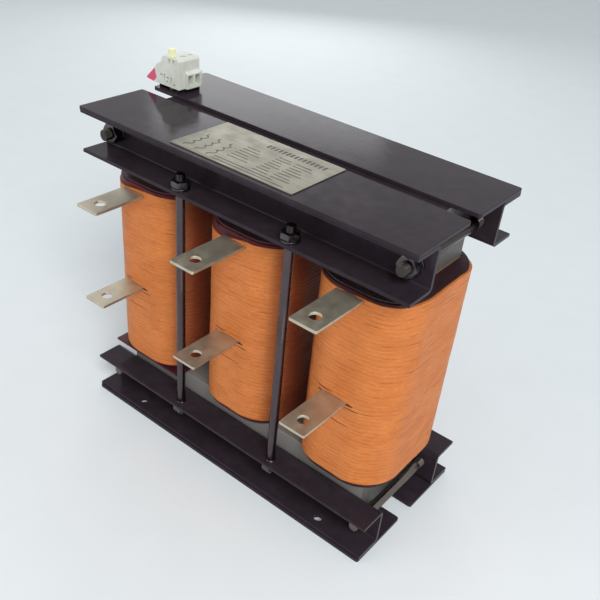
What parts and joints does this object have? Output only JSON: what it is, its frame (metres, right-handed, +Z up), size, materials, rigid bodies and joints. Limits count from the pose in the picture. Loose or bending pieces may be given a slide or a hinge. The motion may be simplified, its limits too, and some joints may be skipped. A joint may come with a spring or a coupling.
{
  "type": "detuned reactor",
  "caption": "Three-phase filter reactor: wound coils on a gapped iron core clamped between black channels, with flat-bar terminals at the front and a small rail terminal on top.",
  "frame": {"origin": "centre of the four foot holes, on the floor", "axes": "+X along the beams to the right, terminals face -Y, +Z up"},
  "size_m": [0.4206, 0.236, 0.4155],
  "materials": {
    "black_enamel": "gloss",
    "core_steel": "matt laminated edges",
    "spacer_board": "matt",
    "pressboard": "matt varnished",
    "former_laminate": "matt",
    "varnished_winding": "varnished",
    "coil_wrap": "satin varnished",
    "tinned_copper": "satin",
    "dark_fasteners": "satin",
    "nameplate_metal": "satin",
    "rail_steel": "zinc plated",
    "terminal_plastic": "moulded satin",
    "screw_steel": "plated",
    "red_plastic": "moulded",
    "marker_plastic": "moulded translucent"
  },
  "bodies": {
    "root": {"clamp_stud_nuts": "dark_fasteners", "clamp_stud_washers": "dark_fasteners", "end_clamp": "terminal_plastic", "far_terminal_slice": "terminal_plastic", "front_base_bar": "black_enamel", "front_left_tie_rod": "dark_fasteners", "front_lower_channel": "black_enamel", "front_right_tie_rod": "dark_fasteners", "front_top_bar": "black_enamel", "front_upper_channel": "black_enamel", "left_coil_former": "former_laminate", "left_coil_wrap": "coil_wrap", "left_gap_spacers": "spacer_board", "left_limb_packets": "core_steel", "left_lower_board": "pressboard", "left_lower_clamp_stud": "dark_fasteners", "left_lower_terminal": "tinned_copper", "left_upper_board": "pressboard", "left_upper_clamp_stud": "dark_fasteners", "left_upper_terminal": "tinned_copper", "left_winding": "varnished_winding", "lower_yoke": "core_steel", "marker_tag": "marker_plastic", "middle_coil_former": "former_laminate", "middle_coil_wrap": "coil_wrap", "middle_gap_spacers": "spacer_board", "middle_limb_packets": "core_steel", "middle_lower_board": "pressboard", "middle_lower_terminal": "tinned_copper", "middle_upper_board": "pressboard", "middle_upper_terminal": "tinned_copper", "middle_winding": "varnished_winding", "mounting_rail": "rail_steel", "nameplate": "nameplate_metal", "near_terminal_slice": "terminal_plastic", "rail_screws": "rail_steel", "rear_base_bar": "black_enamel", "rear_left_tie_rod": "dark_fasteners", "rear_lower_channel": "black_enamel", "rear_right_tie_rod": "dark_fasteners", "rear_top_bar": "black_enamel", "rear_upper_channel": "black_enamel", "release_lever": "red_plastic", "right_coil_former": "former_laminate", "right_coil_wrap": "coil_wrap", "right_gap_spacers": "spacer_board", "right_limb_packets": "core_steel", "right_lower_board": "pressboard", "right_lower_clamp_stud": "dark_fasteners", "right_lower_terminal": "tinned_copper", "right_upper_board": "pressboard", "right_upper_clamp_stud": "dark_fasteners", "right_upper_terminal": "tinned_copper", "right_winding": "varnished_winding", "terminal_end_plate": "terminal_plastic", "terminal_screws": "screw_steel", "tie_rod_nuts": "dark_fasteners", "tie_rod_washers": "dark_fasteners", "upper_yoke": "core_steel"}
  },
  "joints": []
}
